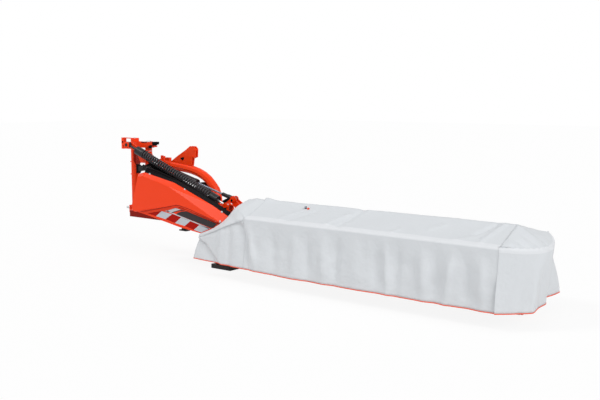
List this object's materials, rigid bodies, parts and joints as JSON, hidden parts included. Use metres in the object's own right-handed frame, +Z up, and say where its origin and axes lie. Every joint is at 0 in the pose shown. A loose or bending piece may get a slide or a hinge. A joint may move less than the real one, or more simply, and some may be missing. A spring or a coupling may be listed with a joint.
{
  "type": "disc mower",
  "caption": "Rear-mounted disc mower: hitch frame, belt-driven folding arm with suspension springs, and a covered cutterbar of knife discs.",
  "frame": {"origin": "the middle of the line between the two lower hitch pins", "axes": "+X outwards along the cutterbar, +Y forwards to the tractor, +Z up; the ground is at z = -0.440"},
  "size_m": [4.9121, 1.0228, 1.215],
  "materials": {
    "orange_red_paint": "gloss orange-red paint",
    "dark_paint": "satin near-black paint",
    "black_spring_steel": "satin black coating on spring steel",
    "zinc_plate": "bright zinc plate",
    "chrome_rod": "polished hard chrome",
    "worn_steel": "bare machined steel, lightly worn",
    "cast_iron": "bare casting",
    "black_rubber": "matt black rubber",
    "pale_tarpaulin": "coated tarpaulin, soft sheen",
    "striped_board": "smooth panel with dark red and pale diagonal stripes"
  },
  "bodies": {
    "headstock": {"headstock_frame": "orange_red_paint", "hitch_pin_left": "zinc_plate", "hitch_pin_right": "zinc_plate", "top_link_pin": "zinc_plate", "breakaway_pin": "zinc_plate", "stand_sleeve": "orange_red_paint"},
    "stand": {"stand_leg": "dark_paint"},
    "swing_frame": {"swing_frame": "orange_red_paint", "input_bearing": "worn_steel", "spring_lever": "orange_red_paint", "spring_anchor_pin": "zinc_plate", "lift_anchor_pin": "zinc_plate"},
    "input_drive": {"input_shaft": "worn_steel", "upper_pulley": "cast_iron"},
    "arm": {"belt_housing": "orange_red_paint", "stripe_board": "striped_board", "backplate": "orange_red_paint", "drive_belt": "black_rubber", "arm_beam": "orange_red_paint", "arch_arm": "orange_red_paint", "arch_bracket": "orange_red_paint", "hinge_tower": "orange_red_paint"},
    "spring_head": {"main_spring_head": "black_spring_steel", "main_spring_coil": "black_spring_steel"},
    "spring_tail": {"main_spring_tail": "zinc_plate"},
    "lift_barrel": {"lift_barrel": "dark_paint"},
    "lift_rod": {"lift_rod": "chrome_rod"},
    "float_head": {"float_spring_head": "black_spring_steel", "float_spring_coil": "black_spring_steel"},
    "float_tail": {"float_spring_tail": "zinc_plate"},
    "lower_drive": {"lower_pulley": "cast_iron", "pinion_shaft": "worn_steel"},
    "tensioner": {"tension_arm": "dark_paint"},
    "idler": {"idler_pulley": "cast_iron"},
    "cutterbar": {"bar_pan": "orange_red_paint", "bar_lid": "orange_red_paint", "gearbox": "orange_red_paint", "skid_rail": "worn_steel", "inner_shoe": "dark_paint", "bar_lever": "orange_red_paint", "guard_frame": "orange_red_paint", "rear_curtain": "pale_tarpaulin", "top_sheet": "pale_tarpaulin", "end_curtain_rear": "pale_tarpaulin", "inner_flap": "pale_tarpaulin", "apron": "pale_tarpaulin"},
    "bar_shaft": {"bar_shaft": "worn_steel"},
    "front_guard": {"front_frame": "orange_red_paint", "front_top_sheet": "pale_tarpaulin", "front_curtain": "pale_tarpaulin", "end_curtain_front": "pale_tarpaulin"},
    "disc_1": {"disc_1": "dark_paint"},
    "disc_2": {"disc_2": "dark_paint"},
    "disc_3": {"disc_3": "dark_paint"},
    "disc_4": {"disc_4": "dark_paint"},
    "disc_5": {"disc_5": "dark_paint"},
    "disc_6": {"disc_6": "dark_paint"},
    "disc_7": {"disc_7": "dark_paint"}
  },
  "joints": [
    {"name": "stand_slide", "type": "slide", "parent": "headstock", "child": "stand", "axis": [0, 0, -1], "range_m": [0, 0.275]},
    {"name": "breakaway_swing", "type": "hinge", "parent": "headstock", "child": "swing_frame", "pos_m": [0.035, -0.12, 0.002], "axis": [0, 0, -1], "range_deg": [0, 8]},
    {"name": "pto_spin", "type": "hinge", "parent": "swing_frame", "child": "input_drive", "pos_m": [0.42, -0.402, 0.24], "axis": [0, 1, 0], "continuous": true},
    {"name": "arm_lift", "type": "hinge", "parent": "swing_frame", "child": "arm", "pos_m": [0.42, -0.3516, 0.24], "axis": [0, -1, 0], "range_deg": [-4, 45]},
    {"name": "spring_swing", "type": "hinge", "parent": "swing_frame", "child": "spring_head", "pos_m": [-0.135, -0.245, 0.71], "axis": [0, -1, 0], "range_deg": [-4, 26]},
    {"name": "spring_slide", "type": "slide", "parent": "spring_head", "child": "spring_tail", "axis": [0.9337, 0, -0.358], "range_m": [-0.31, 0.035], "deforming": ["main_spring_coil"]},
    {"name": "lift_swing", "type": "hinge", "parent": "swing_frame", "child": "lift_barrel", "pos_m": [0.11, -0.245, 0.485], "axis": [0, -1, 0], "range_deg": [-5, 35]},
    {"name": "lift_slide", "type": "slide", "parent": "lift_barrel", "child": "lift_rod", "axis": [0.9423, 0, -0.3347], "range_m": [-0.19, 0.025]},
    {"name": "float_swing", "type": "hinge", "parent": "arm", "child": "float_head", "pos_m": [0.3, -0.125, 0.474], "axis": [0, -1, 0], "range_deg": [-17, 5]},
    {"name": "float_slide", "type": "slide", "parent": "float_head", "child": "float_tail", "axis": [0.9674, 0, -0.2532], "range_m": [-0.03, 0.01], "deforming": ["float_spring_coil"]},
    {"name": "lower_pulley_spin", "type": "hinge", "parent": "arm", "child": "lower_drive", "pos_m": [1.45, -0.402, -0.02], "axis": [0, 1, 0], "continuous": true},
    {"name": "tension_swing", "type": "hinge", "parent": "arm", "child": "tensioner", "pos_m": [0.77302, -0.402, 0.06612], "axis": [0, -1, 0], "range_deg": [0, 8]},
    {"name": "idler_spin", "type": "hinge", "parent": "tensioner", "child": "idler", "pos_m": [0.87802, -0.402, 0.03612], "axis": [0, 1, 0], "continuous": true},
    {"name": "bar_fold", "type": "hinge", "parent": "arm", "child": "cutterbar", "pos_m": [1.45, -0.145, -0.02], "axis": [0, -1, 0], "range_deg": [-8, 45], "deforming": ["inner_flap", "apron"]},
    {"name": "bar_shaft_spin", "type": "hinge", "parent": "cutterbar", "child": "bar_shaft", "pos_m": [1.45, -0.145, -0.369], "axis": [1, 0, 0], "continuous": true},
    {"name": "guard_fold", "type": "hinge", "parent": "cutterbar", "child": "front_guard", "pos_m": [1.8, -0.31, 0.266], "axis": [1, 0, 0], "range_deg": [0, 85]},
    {"name": "disc_1_spin", "type": "hinge", "parent": "cutterbar", "child": "disc_1", "pos_m": [1.45, -0.145, -0.303], "axis": [0, 0, 1], "continuous": true},
    {"name": "disc_2_spin", "type": "hinge", "parent": "cutterbar", "child": "disc_2", "pos_m": [1.887, -0.145, -0.303], "axis": [0, 0, 1], "continuous": true},
    {"name": "disc_3_spin", "type": "hinge", "parent": "cutterbar", "child": "disc_3", "pos_m": [2.324, -0.145, -0.303], "axis": [0, 0, 1], "continuous": true},
    {"name": "disc_4_spin", "type": "hinge", "parent": "cutterbar", "child": "disc_4", "pos_m": [2.761, -0.145, -0.303], "axis": [0, 0, 1], "continuous": true},
    {"name": "disc_5_spin", "type": "hinge", "parent": "cutterbar", "child": "disc_5", "pos_m": [3.198, -0.145, -0.303], "axis": [0, 0, 1], "continuous": true},
    {"name": "disc_6_spin", "type": "hinge", "parent": "cutterbar", "child": "disc_6", "pos_m": [3.635, -0.145, -0.303], "axis": [0, 0, 1], "continuous": true},
    {"name": "disc_7_spin", "type": "hinge", "parent": "cutterbar", "child": "disc_7", "pos_m": [4.072, -0.145, -0.303], "axis": [0, 0, 1], "continuous": true}
  ],
  "couplings": [
    {"joint": "spring_swing", "follows": "arm_lift", "ratio": 0.5473},
    {"joint": "spring_slide", "follows": "arm_lift", "m_per_rad": -0.37725},
    {"joint": "lift_swing", "follows": "arm_lift", "ratio": 0.6899},
    {"joint": "lift_slide", "follows": "arm_lift", "m_per_rad": -0.21852},
    {"joint": "float_swing", "follows": "bar_fold", "ratio": -0.32933},
    {"joint": "float_slide", "follows": "bar_fold", "m_per_rad": -0.02876},
    {"joint": "lower_pulley_spin", "follows": "pto_spin", "ratio": 1.7857},
    {"joint": "idler_spin", "follows": "pto_spin", "ratio": 4.1667},
    {"joint": "bar_shaft_spin", "follows": "pto_spin", "ratio": -3.5381},
    {"joint": "disc_1_spin", "follows": "pto_spin", "ratio": -1.3799},
    {"joint": "disc_2_spin", "follows": "pto_spin", "ratio": 1.3799},
    {"joint": "disc_3_spin", "follows": "pto_spin", "ratio": -1.3799},
    {"joint": "disc_4_spin", "follows": "pto_spin", "ratio": 1.3799},
    {"joint": "disc_5_spin", "follows": "pto_spin", "ratio": -1.3799},
    {"joint": "disc_6_spin", "follows": "pto_spin", "ratio": 1.3799},
    {"joint": "disc_7_spin", "follows": "pto_spin", "ratio": -1.3799}
  ]
}
